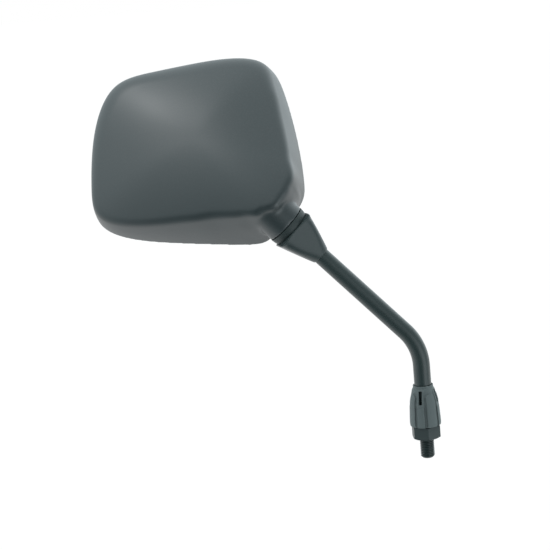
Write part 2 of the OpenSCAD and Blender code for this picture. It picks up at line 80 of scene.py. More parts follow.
def addCamera(view):
    up, roll = math.radians(view["elevation"]), math.radians(view["roll"])
    ahead = Vector((0, math.cos(up), -math.sin(up)))
    level = Vector((1, 0, 0))
    upward = Vector((0, math.sin(up), math.cos(up)))
    right = level * math.cos(roll) - upward * math.sin(roll)
    top = level * math.sin(roll) + upward * math.cos(roll)
    middle = view["image"] / 2
    scale = view["mmPerPixel"] * mm
    across, down = view["stemPixel"]
    aim = right * ((middle - across) * scale) - top * ((middle - down) * scale)
    data = bpy.data.cameras.new("photoCamera")
    camera = bpy.data.objects.new("photoCamera", data)
    scene.collection.objects.link(camera)
    turn = Matrix((right, top, -ahead)).transposed()
    camera.matrix_world = Matrix.Translation(aim - ahead * view["distance"]) @ turn.to_4x4()
    data.sensor_width = view["sensor"]
    data.lens = data.sensor_width * view["distance"] / scale / view["image"]
    data.clip_end = view["clipEnd"]
    scene.camera = camera


addCamera(cameraView)


# Modelling helpers


def deselectAll():
    bpy.ops.object.select_all(action="DESELECT")


def choose(piece):
    deselectAll()
    piece.select_set(True)
    bpy.context.view_layer.objects.active = piece


def finishModifier(piece, kind, **settings):
    choose(piece)
    modifier = piece.modifiers.new(kind.lower(), kind)
    for name, value in settings.items():
        setattr(modifier, name, value)
    bpy.ops.object.modifier_apply(modifier=modifier.name)


# Welds points that lie together, fills open ends where asked, and turns the faces outwards
def mendMesh(piece, weld=1e-7, fill=False):
    shape = bmesh.new()
    shape.from_mesh(piece.data)
    bmesh.ops.remove_doubles(shape, verts=shape.verts, dist=weld)
    if fill:
        bmesh.ops.holes_fill(shape, edges=[e for e in shape.edges if e.is_boundary], sides=0)
    bmesh.ops.recalc_face_normals(shape, faces=shape.faces)
    shape.to_mesh(piece.data)
    shape.free()


# A loft through rings of equally many points; a closed one joins its last ring to its first
def loftPiece(name, rings, place, closed=False):
    count = len(rings[0])
    points = [place @ Vector(p) for ring in rings for p in ring]
    faces = []
    for j in range(len(rings) if closed else len(rings) - 1):
        a, b = j * count, (j + 1) % len(rings) * count
        faces += [(a + i, a + (i + 1) % count, b + (i + 1) % count, b + i) for i in range(count)]
    if not closed:
        lastRing = (len(rings) - 1) * count
        faces += [tuple(reversed(range(count))), tuple(range(lastRing, lastRing + count))]
    mesh = bpy.data.meshes.new(name)
    mesh.from_pydata(points, [], faces)
    piece = bpy.data.objects.new(name, mesh)
    scene.collection.objects.link(piece)
    mendMesh(piece)
    return piece


def turnedPiece(name, profile, place, sides=96):
    angles = [2 * math.pi * i / sides for i in range(sides)]
    rings = [[(r * math.cos(a), r * math.sin(a), z) for a in angles] for r, z in profile]
    return loftPiece(name, rings, place)


def copyOfNode(node, name):
    piece = bpy.data.objects.new(name, nodes[node].data.copy())
    scene.collection.objects.link(piece)
    mendMesh(piece, weld=2e-6)
    return piece


def cutWith(piece, tool, operation="DIFFERENCE"):
    finishModifier(piece, "BOOLEAN", object=tool, operation=operation, solver="EXACT")
    bpy.data.objects.remove(tool)


def joinPieces(piece, others):
    deselectAll()
    for other in others:
        other.select_set(True)
    piece.select_set(True)
    bpy.context.view_layer.objects.active = piece
    bpy.ops.object.join()


def smoothShade(piece, degrees):
    choose(piece)
    bpy.ops.object.shade_smooth_by_angle(angle=math.radians(degrees))


def dress(piece, material, body, slot, *replaced):
    piece.data.materials.clear()
    piece.data.materials.append(material)
    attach(piece, body)
    if replaced:
        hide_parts(*replaced)


# Shared effects: they give values only


def newGroup(name, inputs, outputs):
    tree = bpy.data.node_groups.new(name, "ShaderNodeTree")
    for label, kind, value in inputs:
        socket = tree.interface.new_socket(label, in_out="INPUT", socket_type=kind)
        if value is not None:
            socket.default_value = value
    for label, kind in outputs:
        tree.interface.new_socket(label, in_out="OUTPUT", socket_type=kind)
    return tree, tree.nodes.new("NodeGroupInput"), tree.nodes.new("NodeGroupOutput")


def addNode(tree, kind, values=None, **settings):
    node = tree.nodes.new(kind)
    for name, value in settings.items():
        setattr(node, name, value)
    for name, value in (values or {}).items():
        if isinstance(value, bpy.types.NodeSocket):
            tree.links.new(value, node.inputs[name])
        else:
            node.inputs[name].default_value = value
    return node


def mathOf(tree, operation, first, second=0.5, third=0.5):
    return addNode(tree, "ShaderNodeMath", {0: first, 1: second, 2: third}, operation=operation).outputs[0]


def remap(tree, value, low, high, toLow=0.0, toHigh=1.0):
    values = {"Value": value, "From Min": low, "From Max": high, "To Min": toLow, "To Max": toHigh}
    return addNode(tree, "ShaderNodeMapRange", values).outputs[0]


def mixOf(tree, share, first, second):
    values = {"Factor": share, "A": first, "B": second}
    return addNode(tree, "ShaderNodeMix", values, data_type="RGBA").outputs["Result"]


def noiseOf(tree, place, scale, detail, roughness=0.5):
    values = {"Vector": place, "Scale": scale, "Detail": detail, "Roughness": roughness}
    return addNode(tree, "ShaderNodeTexNoise", values).outputs["Fac"]


# Moulded grain: tiny pits of a textured mould, and a slow drift that keeps large faces from looking flat
def buildMouldGrain():
    tree, given, result = newGroup(
        "mouldGrain",
        [
            ("Place", "NodeSocketVector", None), ("Pit Scale", "NodeSocketFloat", 2200.0),
            ("Pit Share", "NodeSocketFloat", 0.5),
        ],
        [("Height", "NodeSocketFloat"), ("Drift", "NodeSocketFloat")],
    )
    place, pitScale = given.outputs["Place"], given.outputs["Pit Scale"]
    pits = addNode(tree, "ShaderNodeTexVoronoi", {"Vector": place, "Scale": pitScale}, feature="SMOOTH_F1")
    grain = noiseOf(tree, place, scale=3600, detail=4, roughness=0.6)
    mixed = mathOf(tree, "MULTIPLY_ADD", pits.outputs["Distance"], given.outputs["Pit Share"], grain)
    tree.links.new(mixed, result.inputs["Height"])
    tree.links.new(noiseOf(tree, place, scale=14, detail=3), result.inputs["Drift"])
    return tree


# Handling marks: sparse fine scuffs and a thin film of dust that settles on what faces up
def buildHandling():
    tree, given, result = newGroup(
        "handlingMarks",
        [
            ("Place", "NodeSocketVector", None), ("Scuff Scale", "NodeSocketFloat", 90.0),
            ("Amount", "NodeSocketFloat", 0.5),
        ],
        [("Scuffs", "NodeSocketFloat"), ("Dust", "NodeSocketFloat")],
    )
    place, amount = given.outputs["Place"], given.outputs["Amount"]
    stretch = {"Vector": place, "Rotation": (0.4, 0.7, 0.2), "Scale": (1, 9, 1)}
    stretched = addNode(tree, "ShaderNodeMapping", stretch).outputs[0]
    streaks = noiseOf(tree, stretched, scale=given.outputs["Scuff Scale"], detail=6, roughness=0.7)
    patches = noiseOf(tree, place, scale=25, detail=2)
    scuffed = mathOf(tree, "MULTIPLY", remap(tree, streaks, 0.6, 0.75), remap(tree, patches, 0.5, 0.68))
    tree.links.new(mathOf(tree, "MULTIPLY", scuffed, amount), result.inputs["Scuffs"])
    normal = addNode(tree, "ShaderNodeNewGeometry").outputs["Normal"]
    upward = addNode(tree, "ShaderNodeSeparateXYZ", {0: normal}).outputs["Z"]
    speckle = noiseOf(tree, place, scale=900, detail=3)
    settled = mathOf(tree, "MULTIPLY", remap(tree, upward, 0.1, 0.95), remap(tree, speckle, 0.45, 0.75))
    tree.links.new(mathOf(tree, "MULTIPLY", settled, amount), result.inputs["Dust"])
    return tree


mouldGrain = buildMouldGrain()
handlingMarks = buildHandling()


# Wear that all coloured solids share, and painted shade: where asked, an occlusion mask darkens the colour in
# grooves and recesses, where shade falls
wearAndShadePlan = {
    "dustColor": (0.32, 0.31, 0.29, 1), "dustCover": 0.35, "dustRough": 0.2, "scuffRough": 0.15,
    "pitDepth": 0.04,
    # The last five values paint shade into grooves: its colour, reach, samples, and the occlusion at full
    # shade and at none
    "paintedGrooveShadeColor": (0.018, 0.026, 0.026, 1), "paintedGrooveShadeReach": 2.2, "paintedGrooveShadeSamples": 8,
    "paintedGrooveShadeFull": 0.55, "paintedGrooveShadeGone": 0.97,
}


# Painted shade: the colour turns darker where close surfaces hide a point, as in the cover's grooves and
# slots
def paintedGrooveShaded(tree, colour, share):
    reach = {"Distance": wearAndShadePlan["paintedGrooveShadeReach"] * mm}
    near = addNode(tree, "ShaderNodeAmbientOcclusion", reach, samples=wearAndShadePlan["paintedGrooveShadeSamples"])
    dark = remap(tree, near.outputs["AO"], wearAndShadePlan["paintedGrooveShadeFull"], wearAndShadePlan["paintedGrooveShadeGone"], share, 0.0)
    return mixOf(tree, dark, colour, wearAndShadePlan["paintedGrooveShadeColor"])


# A coloured solid with grain, drift of tone and roughness, scuffs, dust and, where asked, painted shade in
# its grooves
def solidMaterial(name, look):
    material = bpy.data.materials.new(name)
    material.use_nodes = True
    tree = material.node_tree
    shader = tree.nodes["Principled BSDF"]
    place = addNode(tree, "ShaderNodeTexCoord").outputs["Object"]
    grain = addNode(tree, "ShaderNodeGroup", node_tree=mouldGrain)
    tree.links.new(place, grain.inputs["Place"])
    grain.inputs["Pit Scale"].default_value = look["pitScale"]
    grain.inputs["Pit Share"].default_value = look["pitShare"]
    marks = addNode(tree, "ShaderNodeGroup", node_tree=handlingMarks)
    tree.links.new(place, marks.inputs["Place"])
    marks.inputs["Amount"].default_value = look["marks"]
    drift, scuffs, dust = grain.outputs["Drift"], marks.outputs["Scuffs"], marks.outputs["Dust"]
    darker = [c * (1 - look["drift"]) for c in look["color"]]
    lighter = [c * (1 + look["drift"]) for c in look["color"]]
    toned = mixOf(tree, drift, (*darker, 1), (*lighter, 1))
    cover = mathOf(tree, "MULTIPLY", dust, wearAndShadePlan["dustCover"])
    colour = mixOf(tree, cover, toned, wearAndShadePlan["dustColor"])
    # Painted shade in the grooves, where the look asks for it
    if "paintedGrooveShade" in look:
        colour = paintedGrooveShaded(tree, colour, look["paintedGrooveShade"])
    tree.links.new(colour, shader.inputs["Base Color"])
    smoothest = look["rough"] - look["roughDrift"] / 2
    rough = mathOf(tree, "MULTIPLY_ADD", drift, look["roughDrift"], smoothest)
    rough = mathOf(tree, "ADD", rough, mathOf(tree, "MULTIPLY", scuffs, wearAndShadePlan["scuffRough"]))
    rough = mathOf(tree, "ADD", rough, mathOf(tree, "MULTIPLY", dust, wearAndShadePlan["dustRough"]))
    tree.links.new(rough, shader.inputs["Roughness"])
    bump = addNode(tree, "ShaderNodeBump", {
        "Strength": look["bump"], "Distance": wearAndShadePlan["pitDepth"] * mm, "Height": grain.outputs["Height"],
    })
    tree.links.new(bump.outputs["Normal"], shader.inputs["Normal"])
    shader.inputs["Metallic"].default_value = look.get("metal", 0)
    shader.inputs["Coat Weight"].default_value = look.get("coat", 0)
    shader.inputs["Coat Roughness"].default_value = look.get("coatRough", 0.2)
    shader.inputs["Specular IOR Level"].default_value = look.get("specular", 0.5)
    return material


print("mixing the materials")
shellPlastic = solidMaterial("shellPlastic", {
    "color": (0.03, 0.047, 0.05), "drift": 0.1, "rough": 0.38, "roughDrift": 0.06, "bump": 0.25,
    "pitScale": 2200, "pitShare": 0.5, "marks": 0.15, "specular": 0.85,
})
platePlastic = solidMaterial("platePlastic", {
    "color": (0.03, 0.033, 0.035), "drift": 0.1, "rough": 0.55, "roughDrift": 0.1, "bump": 0.4,
    "pitScale": 1800, "pitShare": 0.6, "marks": 0.1,
})
bootRubber = solidMaterial("bootRubber", {
    "color": (0.034, 0.054, 0.055), "drift": 0.12, "rough": 0.34, "roughDrift": 0.1, "bump": 0.35,
    "pitScale": 1600, "pitShare": 0.4, "marks": 0.3,
})
# The cover's grooves and slots are darkened with painted shade
coverRubber = solidMaterial("coverRubber", {
    "color": (0.146, 0.18, 0.181), "drift": 0.12, "rough": 0.6, "roughDrift": 0.1, "bump": 0.45,
    "pitScale": 1500, "pitShare": 0.6, "marks": 0.35, "paintedGrooveShade": 0.85,
})
coatedSteel = solidMaterial("coatedSteel", {
    "color": (0.03, 0.051, 0.051), "drift": 0.1, "rough": 0.36, "roughDrift": 0.08, "bump": 0.2,
    "pitScale": 2600, "pitShare": 0.3, "marks": 0.3, "coat": 0.3, "coatRough": 0.3,
})
nutSteel = solidMaterial("nutSteel", {
    "color": (0.042, 0.061, 0.062), "drift": 0.15, "rough": 0.42, "roughDrift": 0.12, "bump": 0.3,
    "pitScale": 2000, "pitShare": 0.4, "marks": 0.5,
})
castingBlack = solidMaterial("castingBlack", {
    "color": (0.034, 0.051, 0.051), "drift": 0.12, "rough": 0.5, "roughDrift": 0.12, "bump": 0.6,
    "pitScale": 1300, "pitShare": 0.8, "marks": 0.2,
})
castingBare = solidMaterial("castingBare", {
    "color": (0.5, 0.51, 0.52), "drift": 0.08, "rough": 0.5, "roughDrift": 0.15, "bump": 0.6,
    "pitScale": 1400, "pitShare": 0.8, "marks": 0.3, "metal": 1,
})
steelBare = solidMaterial("steelBare", {
    "color": (0.56, 0.55, 0.53), "drift": 0.08, "rough": 0.3, "roughDrift": 0.15, "bump": 0.2,
    "pitScale": 2600, "pitShare": 0.2, "marks": 0.4, "metal": 1,
})
nylonSeat = solidMaterial("nylonSeat", {
    "color": (0.72, 0.7, 0.62), "drift": 0.05, "rough": 0.45, "roughDrift": 0.1, "bump": 0.2,
    "pitScale": 2200, "pitShare": 0.3, "marks": 0.1,
})
foamPad = solidMaterial("foamPad", {
    "color": (0.03, 0.03, 0.03), "drift": 0.15, "rough": 0.9, "roughDrift": 0.05, "bump": 1.0,
    "pitScale": 1100, "pitShare": 1.4, "marks": 0.0,
})


# The silvered face: nearly clean, with a trace of wiping marks in its polish
glassLook = {
    "dark": (0.55, 0.6, 0.62, 1), "light": (0.63, 0.68, 0.7, 1), "marks": 0.6, "scuffScale": 160,
    "roughLow": 0.012, "roughHigh": 0.035, "scuffRough": 0.08, "coat": 0.6, "coatRough": 0.02,
}


def silveredMaterial(look):
    material = bpy.data.materials.new("silveredGlass")
    material.use_nodes = True
    tree = material.node_tree
    shader = tree.nodes["Principled BSDF"]
    place = addNode(tree, "ShaderNodeTexCoord").outputs["Object"]
    marks = addNode(tree, "ShaderNodeGroup", node_tree=handlingMarks)
    tree.links.new(place, marks.inputs["Place"])
    marks.inputs["Amount"].default_value = look["marks"]
    marks.inputs["Scuff Scale"].default_value = look["scuffScale"]
    haze = noiseOf(tree, place, scale=30, detail=4)
    rough = remap(tree, haze, 0.35, 0.75, look["roughLow"], look["roughHigh"])
    rough = mathOf(tree, "ADD", rough, mathOf(tree, "MULTIPLY", marks.outputs["Scuffs"], look["scuffRough"]))
    tree.links.new(rough, shader.inputs["Roughness"])
    tree.links.new(mixOf(tree, haze, look["dark"], look["light"]), shader.inputs["Base Color"])
    shader.inputs["Metallic"].default_value = 1
    shader.inputs["Coat Weight"].default_value = look["coat"]
    shader.inputs["Coat Roughness"].default_value = look["coatRough"]
    return material


silveredGlass = silveredMaterial(glassLook)


# Head: the rim's outline and the depths of the shell, in millimetres from the pivot, in the head's own plane
headPlan = {
    "rim": [
        (10.2, 24), (9.2, 38), (5.6, 58), (-0.2, 82), (-7.8, 106), (-16.5, 126.5), (-38, 131.8),
        (-70, 128), (-104, 121.2), (-132, 115.5), (-142.5, 90), (-144.3, 60), (-142.2, 30), (-139, 6),
        (-117, -3.8), (-86, -7), (-54, -8.3), (-28, -9.5), (-15, -8), (-8, 2), (1, 11),
    ],
    "pole": (-65, 57),
    "stepsPerKnot": 12,
    "rimDrop": 17.5,
    "depthNeck": 49, "depthTop": 23, "depthOuter": 20,
    "depthAcross": (-138, 10), "depthUp": (-10, 125), "depthInset": 6,
    "crown": 11, "crownPower": 2.2,
    "ridgeRadius": 4.5, "ridgeSoften": 9, "softestAt": 125, "innerRidge": 0.6,
    "wallBulge": 0.6, "wall": 2.5, "rimWidth": 3.6, "rimRound": 1.2, "recessDepth": 9, "cutPast": 3,
    "insetEase": 3, "domeEase": 20,
    "drafts": [
        (-27, 2), (-10, 9), (30, 12), (45, 14.5), (60, 12), (90, 10), (135, 9), (180, 6), (210, 6), (240, 7),
        (270, 9), (290, 12.5), (303, 12.5), (312, 4), (319, -4.5), (327, -1.5), (333, 2),
    ],
}
pole = Vector(headPlan["pole"])


def splinePoint(i, t):
    rim = headPlan["rim"]
    a, b, c, d = [Vector(rim[(i + k - 1) % len(rim)]) for k in range(4)]
    third = -3 * t ** 3 + 3 * t * t + 3 * t + 1
    return (a * (1 - t) ** 3 + b * (3 * t ** 3 - 6 * t * t + 4) + c * third + d * t ** 3) / 6


knotSteps = headPlan["stepsPerKnot"]
outline = [splinePoint(i, j / knotSteps) for i in range(len(headPlan["rim"])) for j in range(knotSteps)]
reaches = [(p - pole).length for p in outline]
aways = [(p - pole) / r for p, r in zip(outline, reaches)]
firstBearing = headPlan["drafts"][0][0]
bearings = []
for p in outline:
    angle = math.degrees(math.atan2(p.y - pole.y, p.x - pole.x))
    bearings.append(angle + 360 if angle < firstBearing else angle)


def shareOf(x, span):
    return min(1, max(0, (x - span[0]) / (span[1] - span[0])))


def lookup(x, table):
    for (x0, y0), (x1, y1) in zip(table, table[1:]):
        if x <= x1:
            t = shareOf(x, (x0, x1))
            return y0 + (y1 - y0) * t * t * (3 - 2 * t)
    return table[-1][1]


def gentle(x):
    y = min(1, max(0, x))
    return y * y * (3 - 2 * y)


def depthAt(p):
    a = shareOf(p.x, headPlan["depthAcross"])
    b = shareOf(p.y, headPlan["depthUp"])
    outer, top, neck = headPlan["depthOuter"], headPlan["depthTop"], headPlan["depthNeck"]
    return (outer * (1 - a) + top * a) * b + (outer * (1 - a) + neck * a) * (1 - b)


wallDepths = [depthAt(p - away * headPlan["depthInset"]) for p, away in zip(outline, aways)]


# A weighted mean over neighbouring points of the closed outline
def eased(values, width):
    n = len(values)
    shares = [width + 1 - abs(k) for k in range(-width, width + 1)]
    return [
        sum(share * values[(i + k - width) % n] for k, share in enumerate(shares)) / (width + 1) ** 2
        for i in range(n)
    ]


draftAngles = [math.radians(lookup(b, headPlan["drafts"])) for b in bearings]
ridgeInsets = eased([w * math.tan(a) for w, a in zip(wallDepths, draftAngles)], headPlan["insetEase"])
domeReaches = eased([reach - inset for reach, inset in zip(reaches, ridgeInsets)], headPlan["domeEase"])
softenings = [max(0, math.cos(math.radians(b - headPlan["softestAt"]))) for b in bearings]
ridgeSizes = [headPlan["ridgeRadius"] + headPlan["ridgeSoften"] * softening for softening in softenings]


def wallInset(i, w):
    return ridgeInsets[i] * w / wallDepths[i] - headPlan["wallBulge"] * math.sin(math.pi * w / wallDepths[i])


def domeHeight(i, rho):
    x = rho / domeReaches[i]
    return depthAt(pole + aways[i] * rho) + headPlan["crown"] * (1 - x ** headPlan["crownPower"])


def bezierPoint(a, b, c, t):
    return [p * (1 - t) ** 2 + q * 2 * t * (1 - t) + r * t * t for p, q, r in zip(a, b, c)]


# From the rim's edge up the wall, round the ridge and over the dome, to just short of the pole
def outerSection(i, steps=12, rimSteps=4):
    size = ridgeSizes[i]
    foot = wallDepths[i] - size
    topRho = reaches[i] - ridgeInsets[i] - size
    corner = (ridgeInsets[i], domeHeight(i, reaches[i] - ridgeInsets[i]))
    foothold = (wallInset(i, foot), foot)
    top = (ridgeInsets[i] + size, domeHeight(i, topRho))
    r = headPlan["rimRound"]
    bends = [k * math.pi / (2 * rimSteps) for k in range(rimSteps)]
    heights = [r + (foot - r) * k / steps for k in range(steps)]
    rhos = [topRho * (1 - k / (2 * steps + 0.5)) for k in range(2 * steps + 1)]
    section = [(r * (1 - math.sin(a)), r * (1 - math.cos(a))) for a in bends]
    section += [(wallInset(i, w), w) for w in heights]
    section += [bezierPoint(foothold, corner, top, k / steps) for k in range(steps)]
    section += [(reaches[i] - rho, domeHeight(i, rho)) for rho in rhos]
    return section


def innerSection(i, steps=8):
    wall, size = headPlan["wall"], ridgeSizes[i] * headPlan["innerRidge"]
    foot = wallDepths[i] - size - wall
    topRho = reaches[i] - ridgeInsets[i] - size - wall
    a = (wallInset(i, foot) + wall, foot)
    b = (ridgeInsets[i] + wall, domeHeight(i, reaches[i] - ridgeInsets[i] - wall) - wall)
    c = (ridgeInsets[i] + wall + size, domeHeight(i, topRho) - wall)
    width, recess = headPlan["rimWidth"], headPlan["recessDepth"]
    rhos = [topRho * (1 - k / (steps + 0.4)) for k in range(steps + 1)]
    section = [(width, -headPlan["cutPast"]), (width, recess)]
    section += [(max(width, wallInset(i, recess) + wall), recess)]
    section += [bezierPoint(a, b, c, k / steps) for k in range(steps)]
    section += [(reaches[i] - rho, domeHeight(i, rho) - wall) for rho in rhos]
    return section


def headPoint(i, inset, height):
    p = outline[i] - aways[i] * inset
    return Vector((p.x, p.y, height - headPlan["rimDrop"]))


# The walls swell towards the neck, but for a recess below the corner; the rim and the ridge stay in place
neckPlan = {
    "radius": 14.9, "swell": 5, "overlap": 2, "reach": 14, "top": 26, "topEase": 10, "rimEase": 12,
    "ridgeClear": 4, "ridgeEase": 16, "recessAt": 314, "recessHalf": 32,
}


def swollen(i, inset, height):
    p = headPoint(i, inset, height)
    z = p.dot(rodInHead)
    if z > neckPlan["top"]:
        return p
    away = (p - rodInHead * z).length
    near = gentle(1 - (away - neckPlan["radius"] + neckPlan["overlap"]) / neckPlan["reach"])
    offRim = gentle(height / neckPlan["rimEase"])
    below = gentle((neckPlan["top"] - z) / neckPlan["topEase"])
    recess = gentle(1 - abs(bearings[i] - neckPlan["recessAt"]) / neckPlan["recessHalf"])
    share = near * offRim * below * (1 - recess)
    underRidge = gentle((wallDepths[i] + neckPlan["ridgeClear"] - height) / neckPlan["ridgeEase"])
    return p - rodInHead * neckPlan["swell"] * share * underRidge


def ringsOf(sectionOf, pointOf=headPoint):
    sections = [sectionOf(i) for i in range(len(outline))]
    return [[pointOf(i, *sections[i][j]) for i in range(len(outline))] for j in range(len(sections[0]))]


# Shell: a solid of the outer form and the neck is skinned with small even faces, its neck is faired into
# the walls, and then the hollow and the barrel's bore are cut out of it
shellPlan = {
    "skin": 0.8, "polish": 12, "fairing": 26,
    "fairRadius": 16, "fairHalf": 11, "fairFrom": 1.2, "fairStart": 3.5, "fairTo": 30, "fairEnd": 8,
    "neckEnd": 0.2, "neckTop": 17, "neckTip": (11, 23),
    "collarLow": -30, "collarTop": 19.2, "bore": 13.2, "boreLow": -12, "boreTop": 21.7,
}


def fairNeck(shell, plan):
    fairing = shell.vertex_groups.new(name="fairing")
    toRod = rodPlace.inverted()
    for vertex in shell.data.vertices:
        p = toRod @ vertex.co
        beside = gentle(1 - abs(math.hypot(p.x, p.y) - plan["fairRadius"]) / plan["fairHalf"])
        above = gentle((p.z - plan["fairFrom"]) / plan["fairStart"])
        share = beside * above * gentle((plan["fairTo"] - p.z) / plan["fairEnd"])
        if share > 0:
            fairing.add([vertex.index], share, "REPLACE")
    finishModifier(shell, "SMOOTH", iterations=plan["fairing"], factor=0.5, vertex_group="fairing")
    shell.vertex_groups.clear()


def buildShell(plan):
    radius = neckPlan["radius"]
    shell = loftPiece("shellBody", ringsOf(outerSection, swollen), headPlace)
    neckProfile = [(radius, plan["neckEnd"]), (radius, plan["neckTop"]), plan["neckTip"]]
    joinPieces(shell, [turnedPiece("neckStub", neckProfile, rodPlace)])
    finishModifier(shell, "REMESH", mode="VOXEL", voxel_size=plan["skin"] * mm, use_smooth_shade=True)
    finishModifier(shell, "SMOOTH", iterations=plan["polish"], factor=0.5)
    fairNeck(shell, plan)
    hollow = loftPiece("hollow", ringsOf(innerSection), headPlace)
    collarProfile = [(radius, plan["collarLow"]), (radius, plan["collarTop"])]
    cutWith(hollow, turnedPiece("collar", collarProfile, rodPlace))
    cutWith(shell, hollow)
    boreProfile = [(plan["bore"], plan["boreLow"]), (plan["bore"], plan["boreTop"])]
    cutWith(shell, turnedPiece("bore", boreProfile, rodPlace))
    smoothShade(shell, degrees=32)
    return shell


print("skinning the shell")
shellBody = buildShell(shellPlan)
dress(shellBody, shellPlastic, "head", "shell_plastic", "rear_housing")

# Glass and bezel: the glass is a shallow bowl, and the bezel's lip curls from the rim's plane to its front
glassPlan = {
    "thickness": 2.2, "curve": 1400, "sink": 0.6, "inset": 6.2, "edge": 0.25, "rings": 14, "middle": 0.1,
    "lipCover": 2.4, "bezelHeight": 6.5, "seatGap": 0.4, "play": 0.02,
}


def glassHeight(i, inset):
    return glassPlan["sink"] + (reaches[i] - inset) ** 2 / (2 * glassPlan["curve"])


def glassSection(i):
    inset, thick, edge = glassPlan["inset"], glassPlan["thickness"], glassPlan["edge"]
    rings = glassPlan["rings"]
    steps = [glassPlan["middle"], *range(1, rings + 1)]
    spans = [reaches[i] - (reaches[i] - inset - edge) * k / rings for k in steps]
    front = [(s, glassHeight(i, s)) for s in spans]
    rim = [(inset, glassHeight(i, inset) + edge), (inset, glassHeight(i, inset) + thick - edge)]
    return front + rim + [(s, glassHeight(i, s) + thick) for s in reversed(spans)]


def bezelSection(i):
    play = glassPlan["play"]
    outer, height = headPlan["rimWidth"] + play, glassPlan["bezelHeight"]
    seat, lip = glassPlan["inset"] - glassPlan["seatGap"], glassPlan["inset"] + glassPlan["lipCover"]
    under, over = glassHeight(i, seat) - play, glassHeight(i, lip) - play
    return [
        (outer, 0.5), (outer, height), (seat, height), (seat, under), (lip, over), (lip - 0.15, over - 0.5),
        (lip - 0.9, 0.45), (lip - 1.15, 0.15), (lip - 1.55, 0), (outer + 0.6, 0), (outer + 0.18, 0.12),
    ]


print("setting the glass in its bezel")
mirrorFace = loftPiece("mirrorFace", ringsOf(glassSection), headPlace)
smoothShade(mirrorFace, degrees=30)
dress(mirrorFace, silveredGlass, "head", "mirror_glass", "mirror_glass")
bezelRing = loftPiece("bezelRing", ringsOf(bezelSection), headPlace, closed=True)
smoothShade(bezelRing, degrees=30)
dress(bezelRing, shellPlastic, "head", "shell_plastic", "rim_bezel")

# Boot: a four-sided funnel of rubber over the ball joint, soft at its corners and round where it grips the
# rod. Inside it follows the rod, opens as a cone and ends in a round seat about the pivot
bootPlan = {
    "mouth": 15.3, "end": 6.6, "flare": 0.92, "length": 27.6, "drop": 5, "turn": 13, "lip": 0.7,
    "square": 5.0, "round": 2.0, "squareStart": 0.1, "squareGain": 1.2,
    "reliefFrom": 15.2, "relief": 0.36, "reliefEase": 4,
    "lipSteps": (1.57, 1.1, 0.6, 0), "endSteps": ((0.012, 0, 0.35), (0, 0.12, 0.1), (0, 0.35, 0)),
    "rod": 6.05, "gripTop": -25, "coneTop": (10.47, -11.05), "sphere": 15.2,
    "seatSteps": (-11, -10.5, -10, -9, -8, -7, -6, -5.2), "sides": 144, "rings": 36,
}


def bootRing(plan, t, shrink, z):
    half = plan["end"] + (plan["mouth"] - plan["end"]) * t ** plan["flare"] - shrink
    squareness = gentle(plan["squareStart"] + plan["squareGain"] * t)
    power = plan["round"] + (plan["square"] - plan["round"]) * squareness
    turn = math.radians(plan["turn"])
    easing = gentle((z + plan["drop"] + plan["reliefEase"]) / plan["reliefEase"])
    ring = []
    for i in range(plan["sides"]):
        a = 2 * math.pi * i / plan["sides"]
        r = half / (abs(math.cos(a)) ** power + abs(math.sin(a)) ** power) ** (1 / power)
        fall = max(0, r - plan["reliefFrom"]) * plan["relief"] * easing
        ring.append((r * math.cos(a + turn), r * math.sin(a + turn), z - fall))
    return ring


def roundRing(plan, r, z):
    turn = math.radians(plan["turn"])
    angles = [2 * math.pi * i / plan["sides"] + turn for i in range(plan["sides"])]
    return [(r * math.cos(a), r * math.sin(a), z) for a in angles]


def buildBoot(plan):
    low, length = -plan["drop"] - plan["length"], plan["length"]
    rings = []
    for a in plan["lipSteps"]:
        dip = plan["lip"] * (1 - math.sin(a))
        rings.append(bootRing(plan, 1 - dip / length, plan["lip"] * (1 - math.cos(a)), -plan["drop"] - dip))
    for k in range(1, plan["rings"]):
        t = 1 - k / plan["rings"]
        rings.append(bootRing(plan, t, 0, low + length * t))
    for t, shrink, rise in plan["endSteps"]:
        rings.append(bootRing(plan, t, shrink, low + rise))
    rings += [roundRing(plan, plan["rod"], low), roundRing(plan, plan["rod"], plan["gripTop"])]
    rings.append(roundRing(plan, *plan["coneTop"]))
    for z in (*plan["seatSteps"], -plan["drop"]):
        rings.append(roundRing(plan, math.sqrt(plan["sphere"] ** 2 - z * z), z))
    boot = loftPiece("bootCone", rings, rodPlace, closed=True)
    smoothShade(boot, degrees=40)
    return boot


print("moulding the boot")
bootCone = buildBoot(bootPlan)
dress(bootCone, bootRubber, "boot", "boot_rubber", "ball_boot")

# Stem: a rod drawn up from the lock nut, bent, turned down to its waist and spigot, with a cut thread below
stemPlan = {
    "rod": 6, "core": 4.6, "coreDrop": 0.4, "threadTop": 16, "taper": 1.5, "bendRadius": 38, "bendSteps": 28,
    "waist": 4.5, "waistFrom": 15.5, "waistCone": 2, "spigot": 3.5, "spigotFrom": 7, "spigotTo": 7.5,
    "shoulder": 0.01, "free": 14.5, "chamfer": 1.4, "tipPlay": 0.05, "pitch": 1.25, "root": 4.22,
    "crest": 4.99, "threadSteps": 48, "sides": 64,
}


def extrudeBy(distance, direction):
    bpy.ops.mesh.extrude_region_move(TRANSFORM_OT_translate={"value": direction * distance * mm})


def resizeTo(share, centre):
    bpy.ops.transform.resize(value=(share, share, share), center_override=centre * mm)


